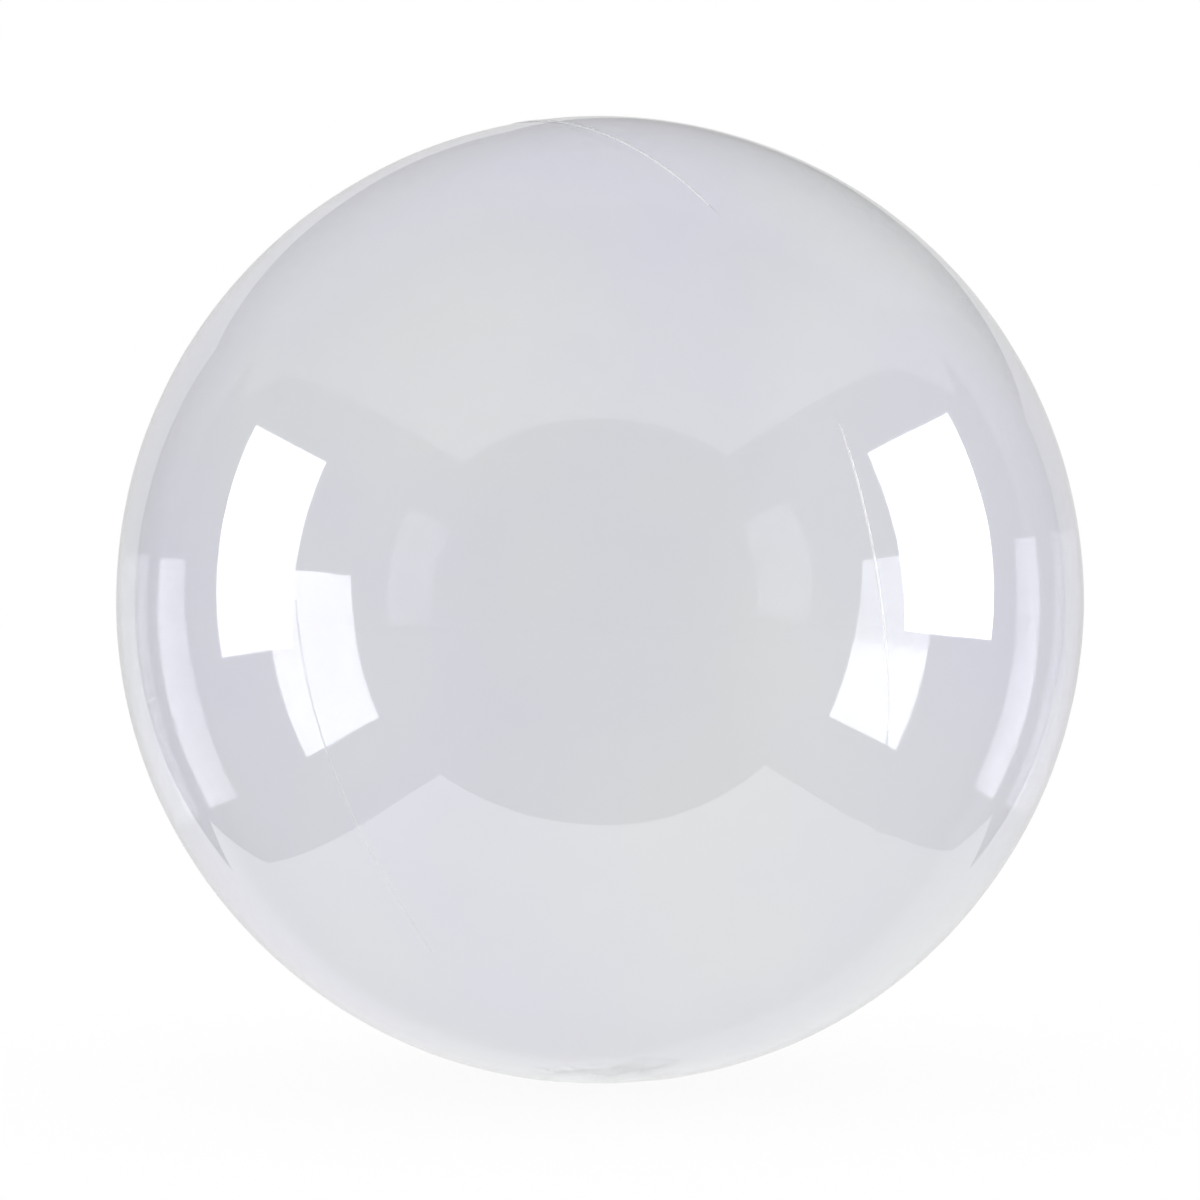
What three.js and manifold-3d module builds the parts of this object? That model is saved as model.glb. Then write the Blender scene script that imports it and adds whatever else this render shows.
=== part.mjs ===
// Clear bubble balloon: two panels of clear stretch film, welded along one seam and blown up to a ball.
// It rests on a small flat spot round its gathered neck. The flat filling tail is folded out along the floor.
// Millimetres, +Z up, origin at the centre of the flat spot. The blown-up film is sealed, so it is one solid.

import * as THREE from "three";
import { mergeVertices } from "three/addons/utils/BufferGeometryUtils.js";
import Module from "manifold-3d";

// Ball
const DIAMETER = 460;
const FLAT_RADIUS = 26;
const SEGMENTS = 96;
const ROW_DEG = 6;

// Weld seam. Its plane stands nearly upright through the neck, and uneven stretch makes the line wander.
const SEAM_NORMAL_AZ_DEG = 216.7;
const SEAM_NORMAL_TILT_DEG = -6.3;
const SEAM_OFFSET_DEG = 5.3;
const SEAM_WAVES = [
  { turns: 2, deg: 1.1, phaseDeg: 91.7 },
  { turns: 3, deg: 0.97, phaseDeg: 104.4 },
  { turns: 4, deg: 0.73, phaseDeg: 4.5 },
];
const BEAD_RADIUS = 0.9;
const BEAD_PROUD = 0.5;
const BEAD_SIDES = 6;
const BEAD_STEPS = 120;
const SEAM_END_GAP_DEG = 4;

// Folds gathered round the neck
const FOLDS = 12;
const FOLD_DEPTH = 0.6;
const FOLD_REACH = 44;
const FOLD_ROWS = 4;

// Filling tail, lying on the floor
const TAIL_AZ_DEG = 62;
const TAIL_END = 62;
const TAIL_ROOT = 20;
const TAIL_FLARE_END = 42;
const TAIL_WIDTH = 24;
const NECK_WIDTH = 13;
const TAIL_THICKNESS = 1;
const WELD_MARGIN = 2;
const MARGIN_THICKNESS = 0.6;
const CORNER_RADIUS = 3;
const CURVE_STEPS = 6;

// Points closer than this are one corner
const MERGE_DISTANCE = 1e-4;

// Worked out from the sizes above
const RADIUS = DIAMETER / 2;
const CENTRE_Z = Math.sqrt(RADIUS ** 2 - FLAT_RADIUS ** 2);
const rad = THREE.MathUtils.degToRad;

const wasm = await Module();
wasm.setup();

// A closed mesh as a solid: shared corners merged, and triangles that collapse on the axis dropped
function toSolid(geometry) {
  const bare = geometry.clone();
  bare.deleteAttribute("normal");
  bare.deleteAttribute("uv");
  const merged = mergeVertices(bare, MERGE_DISTANCE);
  const index = merged.index.array;
  const corners = [];
  for (let i = 0; i < index.length; i += 3) {
    const [a, b, c] = index.slice(i, i + 3);
    if (a !== b && b !== c && c !== a) corners.push(a, b, c);
  }
  const vertProperties = new Float32Array(merged.attributes.position.array);
  const triVerts = new Uint32Array(corners);
  return new wasm.Manifold(new wasm.Mesh({ numProp: 3, vertProperties, triVerts }));
}

function toGeometry(solid) {
  const mesh = solid.getMesh();
  const geometry = new THREE.BufferGeometry();
  geometry.setAttribute("position", new THREE.BufferAttribute(mesh.vertProperties, 3));
  geometry.setIndex(new THREE.BufferAttribute(mesh.triVerts, 1));
  geometry.computeVertexNormals();
  return geometry;
}

// The ball is turned about Z, with close rows where the folds are
function ballProfile() {
  const points = [new THREE.Vector2(0, 0), new THREE.Vector2(FLAT_RADIUS, 0)];
  const first = Math.asin(FLAT_RADIUS / RADIUS);
  const folded = Math.asin(FOLD_REACH / RADIUS);
  const angles = [];
  for (let i = 1; i <= FOLD_ROWS; i += 1) {
    angles.push(first + ((folded - first) * i) / FOLD_ROWS);
  }
  const rows = Math.round((Math.PI - folded) / rad(ROW_DEG));
  for (let i = 1; i < rows; i += 1) {
    angles.push(folded + ((Math.PI - folded) * i) / rows);
  }
  for (const a of angles) {
    points.push(new THREE.Vector2(RADIUS * Math.sin(a), CENTRE_Z - RADIUS * Math.cos(a)));
  }
  points.push(new THREE.Vector2(0, CENTRE_Z + RADIUS));
  return points;
}

// Each fold is a shallow valley in the film, deepest just outside the flat spot
function pressFolds(geometry) {
  const centre = new THREE.Vector3(0, 0, CENTRE_Z);
  const p = new THREE.Vector3();
  const position = geometry.attributes.position;
  for (let i = 0; i < position.count; i += 1) {
    p.fromBufferAttribute(position, i);
    const out = Math.hypot(p.x, p.y);
    const along = (out - FLAT_RADIUS) / (FOLD_REACH - FLAT_RADIUS);
    if (p.z < CENTRE_Z && along > 0 && along < 1) {
      const swell = Math.sin(Math.PI * Math.sqrt(along)) ** 2;
      const valley = (1 - Math.cos(FOLDS * Math.atan2(p.y, p.x))) / 2;
      p.add(centre.clone().sub(p).setLength(FOLD_DEPTH * swell * valley));
      position.setXYZ(i, p.x, p.y, p.z);
    }
  }
}

function ball() {
  const geometry = new THREE.LatheGeometry(ballProfile(), SEGMENTS);
  geometry.rotateX(Math.PI / 2);
  pressFolds(geometry);
  return toSolid(geometry);
}

// The seam's line on the ball, from one side of the neck over the top to the other side
class SeamLine extends THREE.Curve {
  getPoint(t, target = new THREE.Vector3()) {
    const az = rad(SEAM_NORMAL_AZ_DEG);
    const tilt = rad(SEAM_NORMAL_TILT_DEG);
    const normal = new THREE.Vector3(Math.cos(az), Math.sin(az), 0).multiplyScalar(Math.cos(tilt));
    normal.z = Math.sin(tilt);
    const side = new THREE.Vector3(-Math.sin(az), Math.cos(az), 0);
    const up = normal.clone().cross(side);
    const turn = (2 * t - 1) * rad(180 - SEAM_END_GAP_DEG);
    let lean = rad(SEAM_OFFSET_DEG);
    for (const wave of SEAM_WAVES) {
      lean += rad(wave.deg) * Math.cos(wave.turns * turn - rad(wave.phaseDeg));
    }
    target.copy(up).multiplyScalar(Math.cos(turn)).addScaledVector(side, Math.sin(turn));
    target.multiplyScalar(Math.cos(lean)).addScaledVector(normal, Math.sin(lean));
    target.multiplyScalar(RADIUS + BEAD_PROUD - BEAD_RADIUS);
    target.z += CENTRE_Z;
    return target;
  }
}

function weldBead() {
  const section = new THREE.Shape();
  for (let i = 0; i < BEAD_SIDES; i += 1) {
    const a = (2 * Math.PI * i) / BEAD_SIDES;
    const x = BEAD_RADIUS * Math.cos(a);
    const y = BEAD_RADIUS * Math.sin(a);
    if (i === 0) section.moveTo(x, y);
    else section.lineTo(x, y);
  }
  section.closePath();
  const options = { extrudePath: new SeamLine(), steps: BEAD_STEPS, bevelEnabled: false };
  return toSolid(new THREE.ExtrudeGeometry(section, options));
}

// The tail's outline, along +X from the neck: narrow where it is gathered, then full width to the cut end
function tailOutline(inset) {
  const end = TAIL_END - inset / 2;
  const half = TAIL_WIDTH / 2 - inset;
  const neck = NECK_WIDTH / 2 - inset / 2;
  const bend = (TAIL_ROOT + TAIL_FLARE_END) / 2;
  const outline = new THREE.Shape();
  outline.moveTo(TAIL_ROOT, -neck);
  outline.bezierCurveTo(bend, -neck, bend, -half, TAIL_FLARE_END, -half);
  outline.lineTo(end - CORNER_RADIUS, -half);
  outline.quadraticCurveTo(end, -half, end, -half + CORNER_RADIUS);
  outline.lineTo(end, half - CORNER_RADIUS);
  outline.quadraticCurveTo(end, half, end - CORNER_RADIUS, half);
  outline.lineTo(TAIL_FLARE_END, half);
  outline.bezierCurveTo(bend, half, bend, neck, TAIL_ROOT, neck);
  outline.closePath();
  return outline;
}

// Two layers of film: a sleeve down the middle, between the thinner welded margins
function tail() {
  const layer = (inset, depth) => {
    const geometry = new THREE.ExtrudeGeometry(tailOutline(inset), {
      depth,
      bevelEnabled: false,
      curveSegments: CURVE_STEPS,
    });
    geometry.rotateZ(rad(TAIL_AZ_DEG));
    return toSolid(geometry);
  };
  return layer(0, MARGIN_THICKNESS).add(layer(WELD_MARGIN, TAIL_THICKNESS));
}

function belowFloor() {
  const box = new THREE.BoxGeometry(DIAMETER, DIAMETER, RADIUS);
  box.translate(0, 0, -RADIUS / 2);
  return toSolid(box);
}

const clearFilm = new THREE.MeshStandardMaterial({
  color: 0xe4e6ec,
  roughness: 0.05,
  metalness: 0,
  transparent: true,
  opacity: 0.3,
});

const filmBubble = new THREE.Mesh(
  toGeometry(ball().add(weldBead()).add(tail()).subtract(belowFloor())),
  clearFilm,
);
filmBubble.name = "film_bubble";

const group = new THREE.Group();
group.add(filmBubble);

export default group;
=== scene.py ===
import math

import bpy
import numpy as np
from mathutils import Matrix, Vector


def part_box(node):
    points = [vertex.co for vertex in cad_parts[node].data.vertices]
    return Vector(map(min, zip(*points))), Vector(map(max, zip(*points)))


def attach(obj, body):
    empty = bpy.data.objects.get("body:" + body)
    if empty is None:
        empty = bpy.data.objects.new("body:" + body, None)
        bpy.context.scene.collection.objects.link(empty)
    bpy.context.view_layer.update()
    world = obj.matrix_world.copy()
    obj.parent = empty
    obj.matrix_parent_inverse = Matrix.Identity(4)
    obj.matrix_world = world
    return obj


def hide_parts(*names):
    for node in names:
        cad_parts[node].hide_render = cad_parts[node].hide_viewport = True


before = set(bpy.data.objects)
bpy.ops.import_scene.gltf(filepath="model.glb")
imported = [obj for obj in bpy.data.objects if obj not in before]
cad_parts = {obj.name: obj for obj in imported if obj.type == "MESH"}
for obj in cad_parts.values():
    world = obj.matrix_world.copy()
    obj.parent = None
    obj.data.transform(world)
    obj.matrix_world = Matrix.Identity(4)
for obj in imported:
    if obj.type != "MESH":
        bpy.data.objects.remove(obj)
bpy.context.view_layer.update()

# Clear bubble balloon: a thin sealed film with two faces, so that light passes it as it passes real film.
# Everything is in metres and in the CAD model's frame: +Z up, origin at the centre of the flat spot.

MM = 0.001
LOW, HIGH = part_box("film_bubble")

# Ball, from the solid
RADIUS = (HIGH[0] - LOW[0]) / 2
CENTRE_Z = HIGH[2] - RADIUS
FLAT_RADIUS = math.sqrt(RADIUS ** 2 - CENTRE_Z ** 2)
FILM_THICKNESS = 0.12 * MM
RIM_SOFTNESS = 0.3 * MM

# Weld seam, as the solid has it
SEAM_NORMAL_AZ = math.radians(216.7)
SEAM_NORMAL_TILT = math.radians(-6.3)
SEAM_OFFSET = math.radians(5.3)
SEAM_WAVES = [
    (2, math.radians(1.1), math.radians(91.7)),
    (3, math.radians(0.97), math.radians(104.4)),
    (4, math.radians(0.73), math.radians(4.5)),
]
WELD_HALF_WIDTH = 0.35 * MM
# half width of the weld's frost and its painted highlight
FROST_AND_HIGHLIGHT_HALF_WIDTH = 0.6 * MM
# The stretches where the weld catches the light and is plain to see, as turns round the ball from its top
WELD_STRETCHES = [
    (math.radians(6), math.radians(32)),
    (math.radians(74), math.radians(100)),
    (math.radians(-136), math.radians(-94)),
]
# How proud each of them is, and how strongly it is painted white: in part frost, in part a painted
# highlight for the glint of the lights along the weld
WELD_HEIGHTS = (0.6 * MM, 0.3 * MM, 0.04 * MM)
WELD_LEAST_HEIGHT = 0.02 * MM
WELD_FROST_AND_HIGHLIGHT = (1.0, 0.55, 0.6)
WELD_FADE = math.radians(12)
# faces nearer than this get the frosted material, whose white is in part a painted highlight
FROST_AND_HIGHLIGHT_ABOVE = 0.35

# Fine puckers beside the weld, which come in groups and drift from even spacing
PUCKER_HEIGHT = 0.025 * MM
PUCKER_REACH = 12 * MM
PUCKERS_ROUND = 97
PUCKER_GROUPS = 31
PUCKER_DRIFT = 2.2

# Gentle unevenness of the stretched film: how many waves fit round the ball, and how high they are
SWELLS = [(9, 0.09 * MM), (14, 0.05 * MM), (23, 0.028 * MM), (37, 0.012 * MM)]
SWELLS_PER_SIZE = 7
SWELL_SEED = 18

# Folds round the neck, and the fine pleats between them. A higher sharpness makes them narrower.
FOLDS = 12
FOLD_DEPTH = 0.6 * MM
FOLD_REACH = 44 * MM
FOLD_DRIFT = 0.35
FOLD_SHARPNESS = 3
PLEATS = 22
PLEAT_DRIFT = 0.8
PLEAT_SHARPNESS = 6
PLEAT_SHARE = 0.3
# Where the painted highlight along the pleats starts and ends, out from the neck, and how much that end
# varies round it
PLEAT_HIGHLIGHT_START = 8 * MM
PLEAT_HIGHLIGHT_END = 52 * MM
PLEAT_HIGHLIGHT_END_VARIES = 0.2

# The mesh's materials, in the order that they are added
# the second material is frost with a painted highlight of the lights along the weld
STRETCHED, FROSTED_AND_HIGHLIGHT, SLACK = 0, 1, 2

# Filling tail
TAIL_AZ = math.radians(62)
TAIL_END = 62 * MM
TAIL_ROOT = 4 * MM
TAIL_FLARE_START = 20 * MM
TAIL_FLARE_END = 42 * MM
TAIL_HALF_WIDTH = 12 * MM
NECK_HALF_WIDTH = 6.5 * MM
TAIL_CLEARANCE = 0.05 * MM
TAIL_HEIGHT = 0.9 * MM
MARGIN_HEIGHT = 0.4 * MM
WELD_MARGIN = 2 * MM
MARGIN_SOFTNESS = 0.4
MARGIN_FROST_SOFTNESS = 0.3
SLEEVE_FILL = 0.8
SLEEVE_LIFT = 0.12 * MM
GATHER_RIDGES = 5
GATHER_HEIGHT = 0.12 * MM
RIPPLE_HEIGHT = 0.12 * MM
RIPPLE_ALONG = 5 * MM
RIPPLE_ACROSS = 3.4 * MM
CURL_HEIGHT = 1.6 * MM
CURL_LENGTH = 22 * MM
LIFT_FADE = 3 * MM
TAIL_STEPS_ALONG = 70
TAIL_STEPS_ACROSS = 40

# Mesh of the film: how far apart its columns and rows are. The first rows by the weld are evenly spaced.
COLUMN_AT_NECK = 1.4 * MM
COLUMN_ELSEWHERE = 6 * MM
NECK_ZONE = 48 * MM
FIRST_ROW = 0.15 * MM
EVEN_ROWS = 5
ROW_GROWTH = 1.4
ROW_IN_NECK_ZONE = 2.2 * MM
ROW_ELSEWHERE = 10 * MM
SLOPE_STEP = 1e-5

# The photograph: its size, and the ball's radius in it, in pixels
PHOTO_WIDTH = 1200
PHOTO_BALL_RADIUS = 484
CAMERA_DISTANCE = 8 * RADIUS
SENSOR_WIDTH = 36

# How often light may be bent or mirrored before it is lost
BOUNCES_THROUGH = 18
BOUNCES_MIRRORED = 8
BOUNCES_MATT = 1


def seam_axes():
    """The seam plane's normal, its sideways direction and its upward one."""
    normal = np.array([
        math.cos(SEAM_NORMAL_AZ) * math.cos(SEAM_NORMAL_TILT),
        math.sin(SEAM_NORMAL_AZ) * math.cos(SEAM_NORMAL_TILT),
        math.sin(SEAM_NORMAL_TILT),
    ])
    side = np.array([-math.sin(SEAM_NORMAL_AZ), math.cos(SEAM_NORMAL_AZ), 0.0])
    return normal, side, np.cross(normal, side)


def seam_lean(turn):
    """How far the seam strays from its plane, as an angle, at each turn round the ball."""
    lean = np.full_like(turn, SEAM_OFFSET)
    for turns, height, phase in SEAM_WAVES:
        lean += height * np.cos(turns * turn - phase)
    return lean


def smooth_step(x, start, end):
    t = np.clip((x - start) / (end - start), 0, 1)
    return t * t * (3 - 2 * t)


def along_weld(turn, values, least):
    """A measure of the weld with its own value on each stretch, and the least one between them."""
    measure = np.full_like(turn, least)
    for (start, end), value in zip(WELD_STRETCHES, values):
        rise = smooth_step(turn, start - WELD_FADE, start)
        rise *= 1 - smooth_step(turn, end, end + WELD_FADE)
        measure = np.maximum(measure, value * rise)
    return measure


def swell_height(d):
    """Low waves over the whole film, from a fixed set of directions."""
    rng = np.random.default_rng(SWELL_SEED)
    total = np.zeros(d.shape[:-1])
    for count, height in SWELLS:
        for _ in range(SWELLS_PER_SIZE):
            axis = rng.normal(size=3)
            axis /= np.linalg.norm(axis)
            phase = rng.uniform(0, 2 * math.pi)
            total += height / math.sqrt(SWELLS_PER_SIZE) * np.sin(count * (d @ axis) + phase)
    return total


def pleat(around):
    """1 along each of the fine pleats that run out from the neck, and 0 between them."""
    drift = PLEAT_DRIFT * np.sin(5 * around + 1)
    return np.abs(np.cos(PLEATS / 2 * around + drift)) ** PLEAT_SHARPNESS


def crease(around):
    """How deep the neck's folds are, round it: a few broad ones, and the fine pleats."""
    drift = FOLD_DRIFT * np.sin(3 * around)
    broad = np.abs(np.cos(FOLDS / 2 * around + drift)) ** FOLD_SHARPNESS
    return (1 - PLEAT_SHARE) * broad + PLEAT_SHARE * pleat(around)


def film_points(turn, lean_from_seam, inset):
    """Points of the film, inset metres inside its outer face. The seam is at lean_from_seam 0."""
    normal, side, up = seam_axes()
    lean = seam_lean(turn) + lean_from_seam
    d = (
        (np.cos(lean) * np.cos(turn))[..., None] * up
        + (np.cos(lean) * np.sin(turn))[..., None] * side
        + np.sin(lean)[..., None] * normal
    )
    away = np.abs(lean_from_seam) * RADIUS
    height = swell_height(d)
    ridge = along_weld(turn, WELD_HEIGHTS, WELD_LEAST_HEIGHT)
    height += ridge * np.exp(-((away / WELD_HALF_WIDTH) ** 2))
    pucker = np.sin(PUCKERS_ROUND * turn + PUCKER_DRIFT * np.sin(5 * turn))
    pucker *= np.sin(PUCKER_GROUPS * turn + 1)
    height += PUCKER_HEIGHT * pucker * np.exp(-away / PUCKER_REACH)
    p = d * (RADIUS - inset + height)[..., None]
    out = np.hypot(p[..., 0], p[..., 1])
    around = np.arctan2(p[..., 1], p[..., 0])
    below = p[..., 2] < 0
    # folds round the neck
    along = np.clip((out - FLAT_RADIUS) / (FOLD_REACH - FLAT_RADIUS), 0, 1)
    swell = np.sin(math.pi * np.sqrt(along)) ** 2
    p = p * (1 - (FOLD_DEPTH * swell * crease(around) * below)[..., None] / RADIUS)
    z = p[..., 2] + CENTRE_Z
    # the film is pressed flat where it meets the floor, and lifts over the tail
    flat = (z + np.sqrt(z ** 2 + RIM_SOFTNESS ** 2)) / 2
    along_tail = p[..., 0] * math.cos(TAIL_AZ) + p[..., 1] * math.sin(TAIL_AZ)
    across_tail = -p[..., 0] * math.sin(TAIL_AZ) + p[..., 1] * math.cos(TAIL_AZ)
    over = smooth_step(along_tail, 0, TAIL_ROOT)
    over *= 1 - smooth_step(np.abs(across_tail), NECK_HALF_WIDTH, NECK_HALF_WIDTH + LIFT_FADE)
    lift = np.maximum(0, TAIL_HEIGHT + 2 * TAIL_CLEARANCE + inset - flat) * over * below
    p[..., 2] = np.where(below, flat + lift + inset * below * (flat < RIM_SOFTNESS), z)
    return p


def graded_rows():
    """Angles from the seam, close together at the weld and round the neck, out to the pole."""
    quarter = math.pi / 2 * RADIUS
    places = [0.0]
    step = FIRST_ROW
    while places[-1] + step < quarter:
        places.append(places[-1] + step)
        limit = ROW_IN_NECK_ZONE if places[-1] < NECK_ZONE else ROW_ELSEWHERE
        step = min(step * ROW_GROWTH, limit) if places[-1] > EVEN_ROWS * FIRST_ROW else step
    places.append(quarter)
    return np.array(places) / quarter


def graded_columns():
    """Turns round the ball, from the neck over the top and back, close together at the neck."""
    half = math.pi * RADIUS
    places = [0.0]
    while places[-1] < half:
        part = smooth_step(np.array(places[-1]), NECK_ZONE, 3 * NECK_ZONE)
        places.append(places[-1] + COLUMN_AT_NECK + (COLUMN_ELSEWHERE - COLUMN_AT_NECK) * float(part))
    side = np.array(places[:-1]) / places[-1] * math.pi
    return np.concatenate([side - math.pi, [0.0], math.pi - side[:0:-1]])


def film_face(inset):
    """One closed face of the film: vertices, normals and faces. Its rows run along the seam."""
    fractions = graded_rows()[1:-1]
    rows = np.concatenate([-fractions[::-1], [0.0], fractions])
    turns = graded_columns()
    turn, part = np.meshgrid(turns, rows)

    def points(turn, part):
        room = math.pi / 2 - np.sign(part) * seam_lean(turn)
        return film_points(turn, part * room, inset)

    grid = points(turn, part)
    du = points(turn + SLOPE_STEP, part) - points(turn - SLOPE_STEP, part)
    dv = points(turn, part + SLOPE_STEP) - points(turn, part - SLOPE_STEP)
    normals = np.cross(du, dv)
    normals /= np.linalg.norm(normals, axis=-1)[..., None]
    centre = np.array([0, 0, CENTRE_Z])
    inward = ((grid - centre) * normals).sum(-1) < 0
    normals[inward] *= -1
    count = len(turns)
    verts = [grid.reshape(-1, 3)]
    norms = [normals.reshape(-1, 3)]
    poles = []
    for sign in (-1.0, 1.0):
        pole = points(np.array([0.0]), np.array([sign]))
        poles.append(pole)
        norms.append((pole - centre) / np.linalg.norm(pole - centre))
    verts += poles
    faces = []
    for r in range(len(rows) - 1):
        for c in range(count):
            n = (c + 1) % count
            faces.append((r * count + c, r * count + n, (r + 1) * count + n, (r + 1) * count + c))
    low_pole = len(rows) * count
    last = (len(rows) - 1) * count
    for c in range(count):
        n = (c + 1) % count
        faces.append((low_pole, n, c))
        faces.append((low_pole + 1, last + c, last + n))
    return np.concatenate(verts), np.concatenate(norms), faces


def outward(verts, faces):
    """Whether the faces turn outward, by the sign of the volume that they enclose."""
    volume = 0.0
    for f in faces:
        for k in range(1, len(f) - 1):
            volume += float(np.dot(verts[f[0]], np.cross(verts[f[k]], verts[f[k + 1]])))
    return volume > 0


def tail_half_width(along):
    flare = smooth_step(along, TAIL_FLARE_START, TAIL_FLARE_END)
    return NECK_HALF_WIDTH + (TAIL_HALF_WIDTH - NECK_HALF_WIDTH) * flare


def tail_shell():
    """The flat tail as one closed slab: a sleeve between two thin welded margins, gathered at the neck."""
    rows, columns = TAIL_STEPS_ALONG, TAIL_STEPS_ACROSS
    places_along = np.linspace(TAIL_ROOT, TAIL_END, rows)
    places_across = np.linspace(-1, 1, columns)
    along, across = np.meshgrid(places_along, places_across, indexing="ij")
    half = tail_half_width(along)
    side = across * half
    to_edge = half - np.abs(side)
    sleeve = smooth_step(to_edge, WELD_MARGIN * (1 - MARGIN_SOFTNESS), WELD_MARGIN * (1 + MARGIN_SOFTNESS))
    gathered = 1 - smooth_step(along, TAIL_FLARE_START, TAIL_FLARE_END)
    ridges = np.cos(GATHER_RIDGES * math.pi * across) * gathered * GATHER_HEIGHT
    ripple = RIPPLE_HEIGHT * np.sin(along / RIPPLE_ALONG) * np.sin(side / RIPPLE_ACROSS + 1)
    thick = MARGIN_HEIGHT + (TAIL_HEIGHT - MARGIN_HEIGHT) * sleeve * SLEEVE_FILL
    curl = CURL_HEIGHT * smooth_step(along, TAIL_END - CURL_LENGTH, TAIL_END) ** 2
    low = TAIL_CLEARANCE + curl + (SLEEVE_LIFT + ripple) * (1 - gathered) * sleeve
    top = low + thick + ridges * sleeve
    x = along * math.cos(TAIL_AZ) - side * math.sin(TAIL_AZ)
    y = along * math.sin(TAIL_AZ) + side * math.cos(TAIL_AZ)
    upper = np.stack([x, y, top], -1).reshape(-1, 3)
    lower = np.stack([x, y, low], -1).reshape(-1, 3)
    count = rows * columns
    faces = []

    def at(i, j):
        return i * columns + j

    for i in range(rows - 1):
        for j in range(columns - 1):
            quad = (at(i, j), at(i + 1, j), at(i + 1, j + 1), at(i, j + 1))
            faces.append(quad)
            faces.append(tuple(count + k for k in reversed(quad)))
    ring = [at(i, 0) for i in range(rows)]
    ring += [at(rows - 1, j) for j in range(1, columns)]
    ring += [at(i, columns - 1) for i in range(rows - 2, -1, -1)]
    ring += [at(0, j) for j in range(columns - 2, 0, -1)]
    for k, here in enumerate(ring):
        after = ring[(k + 1) % len(ring)]
        faces.append((after, here, count + here, count + after))
    return np.concatenate([upper, lower]), faces


def film_mesh():
    outer_v, outer_n, outer_f = film_face(0.0)
    inner_v, inner_n, inner_f = film_face(FILM_THICKNESS)
    if not outward(outer_v, outer_f):
        outer_f = [tuple(reversed(f)) for f in outer_f]
        inner_f = [tuple(reversed(f)) for f in inner_f]
    inner_f = [tuple(reversed(f)) for f in inner_f]
    tail_v, tail_f = tail_shell()
    if not outward(tail_v, tail_f):
        tail_f = [tuple(reversed(f)) for f in tail_f]
    first_inner = len(outer_v)
    first_tail = first_inner + len(inner_v)
    faces = list(outer_f)
    faces += [tuple(first_inner + k for k in f) for f in inner_f]
    faces += [tuple(first_tail + k for k in f) for f in tail_f]
    verts = np.concatenate([outer_v, inner_v, tail_v])
    mesh = bpy.data.meshes.new("clear_film")
    mesh.from_pydata(verts.tolist(), [], faces)
    mesh.update()
    mesh.shade_smooth()
    # the ball's own normals, worked out from its curve; the tail keeps the ones that Blender gives
    own = np.zeros((len(mesh.vertices), 3), dtype=np.float32)
    mesh.vertices.foreach_get("normal", own.ravel())
    own = own.reshape(-1, 3)
    own[:first_inner] = outer_n
    own[first_inner:first_tail] = -inner_n
    mesh.normals_split_custom_set_from_vertices(own.tolist())
    # frosted, and painted white as a highlight of the lights, are both sides of the weld; frosted are the
    # tail's margins; the rest of the tail is slack
    near = weld_nearness(verts, first_tail)
    index = []
    for f in faces:
        if near[list(f)].mean() > FROST_AND_HIGHLIGHT_ABOVE:
            index.append(FROSTED_AND_HIGHLIGHT)
        else:
            index.append(SLACK if f[0] >= first_tail else STRETCHED)
    mesh.polygons.foreach_set("material_index", index)
    # the point attribute 'pleat' holds the painted highlight along the neck's pleats
    white = mesh.attributes.new("pleat", "FLOAT", "POINT")
    white.data.foreach_set("value", pleat_painted_highlight(verts, first_tail).astype(np.float32))
    return mesh


def pleat_painted_highlight(verts, first_tail):
    """A painted highlight along the pleats round the neck, as a whiter film colour: how strong it is at
    each point.
    """
    out = np.hypot(verts[:, 0], verts[:, 1])
    around = np.arctan2(verts[:, 1], verts[:, 0])
    end = PLEAT_HIGHLIGHT_END * (1 - PLEAT_HIGHLIGHT_END_VARIES + PLEAT_HIGHLIGHT_END_VARIES * np.sin(7 * around))
    white = pleat(around) * smooth_step(out, PLEAT_HIGHLIGHT_START / 2, PLEAT_HIGHLIGHT_START)
    white *= 1 - smooth_step(out, end / 2, end)
    white[verts[:, 2] > CENTRE_Z] = 0
    white[first_tail:] = 0
    return white


def weld_nearness(verts, first_tail):
    """How near each point is to a stretch of the weld that is frosted and painted white as a highlight of
    the lights, or on the tail, to its edge.
    """
    normal, side, up = seam_axes()
    d = verts - np.array([0, 0, CENTRE_Z])
    d /= np.linalg.norm(d, axis=-1)[:, None]
    lean = np.arcsin(np.clip(d @ normal, -1, 1))
    turn = np.arctan2(d @ side, d @ up)
    away = np.abs(lean - seam_lean(turn)) * RADIUS
    near = along_weld(turn, WELD_FROST_AND_HIGHLIGHT, 0.0) * np.exp(-((away / FROST_AND_HIGHLIGHT_HALF_WIDTH) ** 2))
    across = np.abs(-verts[:, 0] * math.sin(TAIL_AZ) + verts[:, 1] * math.cos(TAIL_AZ))
    along = verts[:, 0] * math.cos(TAIL_AZ) + verts[:, 1] * math.sin(TAIL_AZ)
    start = WELD_MARGIN * (1 - MARGIN_FROST_SOFTNESS)
    end = WELD_MARGIN * (1 + MARGIN_FROST_SOFTNESS)
    edge = 1 - smooth_step(tail_half_width(along) - across, start, end)
    near[first_tail:] = edge[first_tail:]
    return near


# Finish of the film. Clouds are a noise's scale, and the two values where it turns from colour to colour.
TINT_CLOUDS = (6, 0.38, 0.62)
TINT_VIOLET = (0.834, 0.833, 0.884)
TINT_GREY = (0.846, 0.855, 0.865)
GLOSS_CLOUDS = (16, 0.4, 0.6)
GLOSS_HIGH = 0.02
GLOSS_LOW = 0.035
# Painted highlight along the pleats at the neck: a whiter film colour
PLEAT_PAINTED_HIGHLIGHT = (0.98, 0.98, 0.99)
SLACK_CLOUDS = (30, 0.35, 0.65)
SLACK_DARK = (0.96, 0.963, 0.975)
SLACK_LIGHT = (0.985, 0.987, 0.99)
SLACK_ROUGHNESS = 0.06
SLACK_IOR = 1.3
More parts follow.
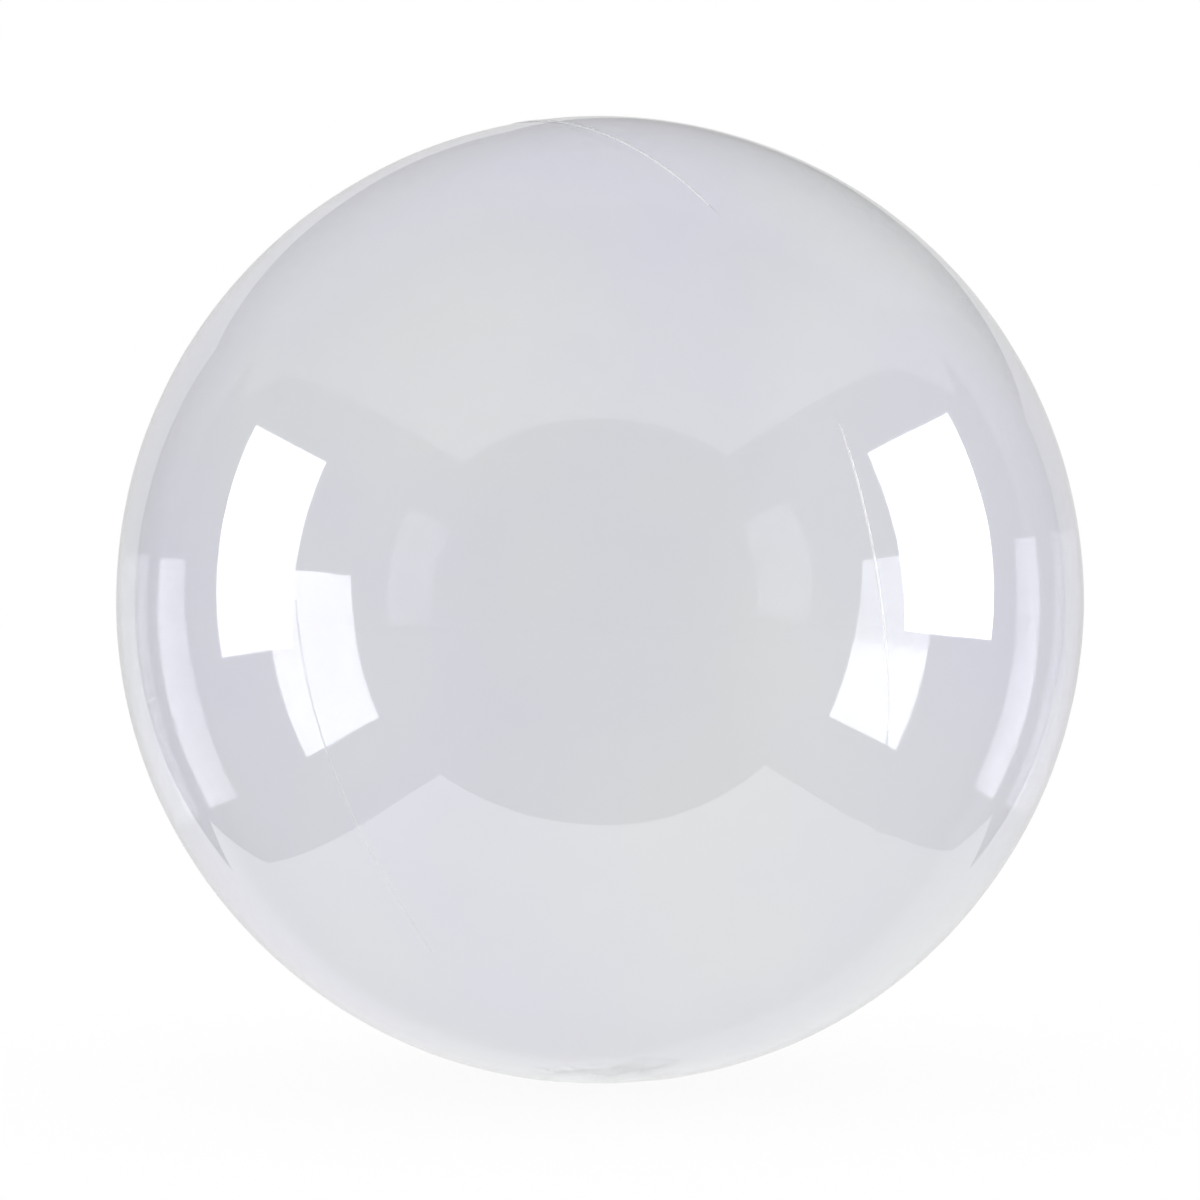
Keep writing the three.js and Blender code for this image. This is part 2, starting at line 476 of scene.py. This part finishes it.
# The weld's white is in part frost and in part a painted highlight of the lights along it; the tail's
# margins have the frost only
FROST_AND_HIGHLIGHT_CLOUDS = (160, 0.35, 0.65)
FROST_AND_HIGHLIGHT_DARK = (0.96, 0.96, 0.97)
FROST_AND_HIGHLIGHT_LIGHT = (1.0, 1.0, 1.0)
FROST_ROUGHNESS = 0.3
FROST_AND_HIGHLIGHT_TRANSMISSION = 0.85
FROST_IOR = 1.1
FILM_IOR = 1.5


def clear_plastic(name, ior, transmission=1.0):
    material = bpy.data.materials.new(name)
    material.use_nodes = True
    nodes, links = material.node_tree.nodes, material.node_tree.links
    film = nodes["Principled BSDF"]
    film.inputs["IOR"].default_value = ior
    film.inputs["Transmission Weight"].default_value = transmission
    return material, nodes, links, film


def varied(nodes, links, spread, from_colour, to_colour):
    """A colour that drifts between two over the surface, in clouds."""
    scale, low, high = spread
    place = nodes.new("ShaderNodeTexCoord")
    clouds = nodes.new("ShaderNodeTexNoise")
    clouds.inputs["Scale"].default_value = scale
    clouds.inputs["Detail"].default_value = 2
    ramp = nodes.new("ShaderNodeValToRGB")
    for element, position, colour in zip(ramp.color_ramp.elements, (low, high), (from_colour, to_colour)):
        element.position = position
        element.color = (*colour, 1)
    links.new(place.outputs["Object"], clouds.inputs["Vector"])
    links.new(clouds.outputs["Fac"], ramp.inputs["Fac"])
    return ramp.outputs["Color"]


def film_material():
    """Clear film with a faint violet tint that comes and goes, a painted highlight along the pleats at the
    neck, and a nearly even gloss.
    """
    material, nodes, links, film = clear_plastic("clear_film", FILM_IOR)
    tint = varied(nodes, links, TINT_CLOUDS, TINT_VIOLET, TINT_GREY)
    gloss = varied(nodes, links, GLOSS_CLOUDS, (GLOSS_HIGH,) * 3, (GLOSS_LOW,) * 3)
    pleats = nodes.new("ShaderNodeAttribute")
    pleats.attribute_name = "pleat"
    # mixes the painted highlight along the pleats into the film's tint
    pleat_highlight_mix = nodes.new("ShaderNodeMix")
    pleat_highlight_mix.data_type = "RGBA"
    film_side, highlight_side = (socket for socket in pleat_highlight_mix.inputs if socket.type == "RGBA")
    colour = next(socket for socket in pleat_highlight_mix.outputs if socket.type == "RGBA")
    highlight_side.default_value = (*PLEAT_PAINTED_HIGHLIGHT, 1)
    links.new(pleats.outputs["Fac"], pleat_highlight_mix.inputs["Factor"])
    links.new(tint, film_side)
    links.new(colour, film.inputs["Base Color"])
    links.new(gloss, film.inputs["Roughness"])
    return material


def tail_material():
    """The slack film of the tail, which was never stretched: clearer, and less glossy."""
    material, nodes, links, film = clear_plastic("slack_film", SLACK_IOR)
    film.inputs["Roughness"].default_value = SLACK_ROUGHNESS
    tint = varied(nodes, links, SLACK_CLOUDS, SLACK_DARK, SLACK_LIGHT)
    links.new(tint, film.inputs["Base Color"])
    return material


def frosted_weld_and_highlight_material():
    """The film where it was welded: painted white, in part as heat frost and in part as a highlight of the
    lights along the weld; partly clear, and too matt to mirror much.
    """
    material, nodes, links, film = clear_plastic("frosted_weld_and_painted_highlight", FROST_IOR, FROST_AND_HIGHLIGHT_TRANSMISSION)
    film.inputs["Roughness"].default_value = FROST_ROUGHNESS
    white = varied(nodes, links, FROST_AND_HIGHLIGHT_CLOUDS, FROST_AND_HIGHLIGHT_DARK, FROST_AND_HIGHLIGHT_LIGHT)
    links.new(white, film.inputs["Base Color"])
    return material


def build_balloon():
    balloon = bpy.data.objects.new("clear_film_bubble", film_mesh())
    bpy.context.scene.collection.objects.link(balloon)
    for material in (film_material(), frosted_weld_and_highlight_material(), tail_material()):
        balloon.data.materials.append(material)
    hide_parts("film_bubble")
    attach(balloon, "root")


# Studio. Reflections see a room of its own: white paper far below, a white backdrop, and two softboxes.
FLOOR_SIZE = 60.0
FLOOR_GREY = 0.05
FLOOR_GLOW = 0.937
ROOM_LIGHT = 1.4
ROOM_FRONT_GLOW = 0.36
ROOM_BACK_GLOW = 0.53
ROOM_RIGHT_GLOW = 0.7
# Where the room turns lighter, as parts of a direction: first towards the back, then towards the right
ROOM_BACK_FROM, ROOM_BACK_TO = -0.1, 0.5
ROOM_RIGHT_FROM, ROOM_RIGHT_TO = 0.4, 0.75
PAPER_Z = CENTRE_Z - 6 * RADIUS
# The paper's corners behind its curved front edge, and that edge, in ball radii
PAPER_CORNERS = [(8.4, 5.0), (11.0, 8.8), (-10.6, 8.8), (-7.6, 3.8)]
PAPER_EDGE_LEFT, PAPER_EDGE_RIGHT = -5.4, 6.0
PAPER_EDGE_STEPS = 24
PAPER_EDGE_FRONT = -5.15
PAPER_EDGE_CURVE = 0.037
PAPER_NEAR = -5 * RADIUS
PAPER_FAR = 5 * RADIUS
PAPER_GLOW_NEAR = 1.45
PAPER_GLOW_FAR = 1.1
BACKDROP_Y = 8.6 * RADIUS
BACKDROP_LEFT = -8.0 * RADIUS
BACKDROP_SLANT_LEFT = -1.05 * RADIUS
BACKDROP_SLANT_RIGHT = 0.25 * RADIUS
BACKDROP_RIGHT = 8.0 * RADIUS
BACKDROP_TOP_LEFT = CENTRE_Z + 5.2 * RADIUS
BACKDROP_TOP_RIGHT = CENTRE_Z + 3.4 * RADIUS
BACKDROP_GLOW_LOW = 1.08
BACKDROP_GLOW_HIGH = 0.82
SOFTBOX_GLOW = 7.5
SOFTBOX_DIM_GLOW = 4.6
SOFTBOX_AGAIN = 2.2
# Where the glow changes, in parts of the softbox's height above its middle
SOFTBOX_BLEND_FROM, SOFTBOX_BLEND_TO = -0.02, 0.06
# Each softbox: its side, centre, size, tilt and the glow of its lower half
SOFTBOXES = [
    ("softbox_left", -1, (10.3, -1.26, 1.48), (4.6, 6.7), math.radians(19.4), SOFTBOX_DIM_GLOW),
    ("softbox_right", 1, (7.3, -0.93, 1.42), (3.83, 4.55), math.radians(15.1), SOFTBOX_GLOW),
]


def socket_value(links, socket, value):
    if isinstance(value, (int, float)):
        socket.default_value = value
    else:
        links.new(value, socket)


def maths(nodes, links, operation, *values):
    node = nodes.new("ShaderNodeMath")
    node.operation = operation
    for socket, value in zip(node.inputs, values):
        socket_value(links, socket, value)
    return node.outputs["Value"]


def ramped(nodes, links, value, low, high, at_low, at_high):
    """A number that goes smoothly from at_low, where value is low, to at_high, where it is high."""
    node = nodes.new("ShaderNodeMapRange")
    node.interpolation_type = "SMOOTHSTEP"
    for name, number in (
        ("Value", value), ("From Min", low), ("From Max", high), ("To Min", at_low), ("To Max", at_high),
    ):
        socket_value(links, node.inputs[name], number)
    return node.outputs["Result"]


def mirrored(nodes, links, times=1):
    """1 on a path that was mirrored at least so many times, and 0 on the others."""
    path = nodes.new("ShaderNodeLightPath")
    return maths(nodes, links, "GREATER_THAN", path.outputs["Glossy Depth"], times - 0.5)


def coordinates(nodes, links, output):
    place = nodes.new("ShaderNodeTexCoord")
    axes = nodes.new("ShaderNodeSeparateXYZ")
    links.new(place.outputs[output], axes.inputs["Vector"])
    return axes.outputs["X"], axes.outputs["Y"], axes.outputs["Z"]


def room_world():
    """White to the eye and through the film, and a brighter light on what is matt.

    Reflections see a dim room, lighter behind and on its right.
    """
    world = bpy.data.worlds.new("studio")
    bpy.context.scene.world = world
    world.use_nodes = True
    nodes, links = world.node_tree.nodes, world.node_tree.links
    background = nodes["Background"]
    background.inputs["Color"].default_value = (1, 1, 1, 1)
    world.cycles.sampling_method = "NONE"
    x, y, _ = coordinates(nodes, links, "Generated")
    room = ramped(nodes, links, y, ROOM_BACK_FROM, ROOM_BACK_TO, ROOM_FRONT_GLOW, ROOM_BACK_GLOW)
    room = ramped(nodes, links, x, ROOM_RIGHT_FROM, ROOM_RIGHT_TO, room, ROOM_RIGHT_GLOW)
    path = nodes.new("ShaderNodeLightPath")
    light = ramped(nodes, links, path.outputs["Diffuse Depth"], 0, 1, 1.0, ROOM_LIGHT)
    glow = ramped(nodes, links, mirrored(nodes, links), 0, 1, light, room)
    links.new(glow, background.inputs["Strength"])


def stage_sheet(name, verts, faces, material):
    mesh = bpy.data.meshes.new(name)
    mesh.from_pydata(verts, [], faces)
    mesh.shade_smooth()
    mesh.materials.append(material)
    sheet = bpy.data.objects.new(name, mesh)
    bpy.context.scene.collection.objects.link(sheet)
    return sheet


def stage_material(name):
    material = bpy.data.materials.new(name)
    material.use_nodes = True
    material.cycles.emission_sampling = "NONE"
    nodes, links = material.node_tree.nodes, material.node_tree.links
    return material, nodes, links


def seen_when(nodes, links, shown, shader):
    """Shows the shader only on the paths where shown is 1, and lets the others through."""
    clear = nodes.new("ShaderNodeBsdfTransparent")
    pick = nodes.new("ShaderNodeMixShader")
    links.new(shown, pick.inputs["Fac"])
    links.new(clear.outputs["BSDF"], pick.inputs[1])
    links.new(shader.outputs[0], pick.inputs[2])
    links.new(pick.outputs["Shader"], nodes["Material Output"].inputs["Surface"])


def floor():
    """The pale floor that the balloon stands on, for the eye and through the film."""
    material, nodes, links = stage_material("floor")
    shader = nodes["Principled BSDF"]
    shader.inputs["Roughness"].default_value = 1.0
    shader.inputs["Specular IOR Level"].default_value = 0.0
    shader.inputs["Base Color"].default_value = (FLOOR_GREY, FLOOR_GREY, FLOOR_GREY, 1)
    shader.inputs["Emission Color"].default_value = (1, 1, 1, 1)
    shader.inputs["Emission Strength"].default_value = FLOOR_GLOW
    straight = maths(nodes, links, "SUBTRACT", 1.0, mirrored(nodes, links))
    seen_when(nodes, links, straight, shader)
    h = FLOOR_SIZE / 2
    stage_sheet("floor", [(-h, -h, 0), (h, -h, 0), (h, h, 0), (-h, h, 0)], [(0, 1, 2, 3)], material)


def glowing(name, glow_low, glow_high, axis, low, high, gain=1.0):
    """A material that only reflections see, whose glow changes smoothly along one axis of its object.

    The glow is gain times as strong where it was mirrored more than once.
    """
    material, nodes, links = stage_material(name)
    shader = nodes.new("ShaderNodeEmission")
    along = coordinates(nodes, links, "Object")[axis]
    glow = ramped(nodes, links, along, low, high, glow_low, glow_high)
    again = ramped(nodes, links, mirrored(nodes, links, 2), 0, 1, 1.0, gain)
    links.new(maths(nodes, links, "MULTIPLY", glow, again), shader.inputs["Strength"])
    seen_when(nodes, links, mirrored(nodes, links), shader)
    return material


def paper():
    """The white paper that the lower half of the ball mirrors, brighter near the lights."""
    material = glowing("paper", PAPER_GLOW_NEAR, PAPER_GLOW_FAR, 1, PAPER_NEAR, PAPER_FAR)
    edge = np.linspace(PAPER_EDGE_LEFT, PAPER_EDGE_RIGHT, PAPER_EDGE_STEPS)
    outline = [(x, PAPER_EDGE_FRONT - PAPER_EDGE_CURVE * x ** 2) for x in edge] + PAPER_CORNERS
    verts = [(x * RADIUS, y * RADIUS, PAPER_Z) for x, y in outline]
    stage_sheet("paper", verts, [tuple(range(len(verts)))], material)


def backdrop():
    """The white backdrop that the rim of the ball mirrors, higher on its left."""
    material = glowing("backdrop", BACKDROP_GLOW_LOW, BACKDROP_GLOW_HIGH, 2, PAPER_Z, CENTRE_Z)
    outline = [
        (BACKDROP_LEFT, PAPER_Z),
        (BACKDROP_SLANT_RIGHT, PAPER_Z),
        (BACKDROP_RIGHT, PAPER_Z),
        (BACKDROP_RIGHT, BACKDROP_TOP_RIGHT),
        (BACKDROP_SLANT_RIGHT, BACKDROP_TOP_RIGHT),
        (BACKDROP_SLANT_LEFT, BACKDROP_TOP_LEFT),
        (BACKDROP_LEFT, BACKDROP_TOP_LEFT),
    ]
    verts = [(x, BACKDROP_Y, z) for x, z in outline]
    stage_sheet("backdrop", verts, [(0, 1, 4, 5, 6), (1, 2, 3, 4)], material)


def softboxes():
    """Two bright panels, one on each side. The left one is dimmer in its lower half."""
    for name, side, place, (wide, tall), tilt, low_glow in SOFTBOXES:
        wide *= RADIUS
        tall *= RADIUS
        start, end = SOFTBOX_BLEND_FROM * tall, SOFTBOX_BLEND_TO * tall
        material = glowing(name, low_glow, SOFTBOX_GLOW, 2, start, end, SOFTBOX_AGAIN)
        corners = [(0, a * wide / 2, b * tall / 2) for a, b in ((-1, -1), (1, -1), (1, 1), (-1, 1))]
        box = stage_sheet(name, corners, [(0, 1, 2, 3)], material)
        x, y, z = place
        box.location = (side * x * RADIUS, y * RADIUS, CENTRE_Z + z * RADIUS)
        box.rotation_euler = (0, -side * tilt, 0)


def camera():
    data = bpy.data.cameras.new("camera")
    data.sensor_width = SENSOR_WIDTH
    focal_pixels = PHOTO_BALL_RADIUS * math.sqrt((CAMERA_DISTANCE / RADIUS) ** 2 - 1)
    data.lens = focal_pixels * SENSOR_WIDTH / PHOTO_WIDTH
    eye = bpy.data.objects.new("camera", data)
    eye.location = (0, -CAMERA_DISTANCE, CENTRE_Z)
    eye.rotation_euler = (math.pi / 2, 0, 0)
    bpy.context.scene.collection.objects.link(eye)
    bpy.context.scene.camera = eye


def colours():
    scene = bpy.context.scene
    scene.view_settings.view_transform = "Standard"
    scene.cycles.max_bounces = BOUNCES_THROUGH
    scene.cycles.transmission_bounces = BOUNCES_THROUGH
    scene.cycles.glossy_bounces = BOUNCES_MIRRORED
    scene.cycles.diffuse_bounces = BOUNCES_MATT


camera()
colours()
room_world()
floor()
paper()
backdrop()
softboxes()
build_balloon()
